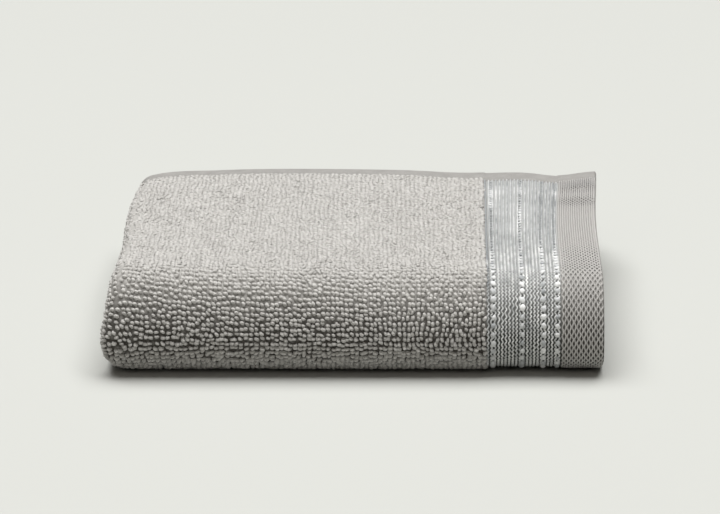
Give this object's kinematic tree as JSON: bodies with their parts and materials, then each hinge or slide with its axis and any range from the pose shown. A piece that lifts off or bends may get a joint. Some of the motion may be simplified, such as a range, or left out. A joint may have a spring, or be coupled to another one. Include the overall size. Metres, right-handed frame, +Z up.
{
  "type": "folded jacquard hand towel",
  "caption": "Small terry hand towel with a woven slub border and flat hems, folded in thirds and then in half, lying flat with the crease at the front.",
  "frame": {"origin": "middle of the base of the folded towel, on the surface that it lies on", "axes": "+X to the right, towards the open end hem; -Y to the front, where the crease is; +Z up"},
  "size_m": [0.1764, 0.1636, 0.038],
  "materials": {
    "cotton_terry": "matt looped cotton pile, warm mid grey, with a flat slubbed border in grey and white"
  },
  "bodies": {
    "root": {"towel": "cotton_terry"}
  },
  "joints": []
}
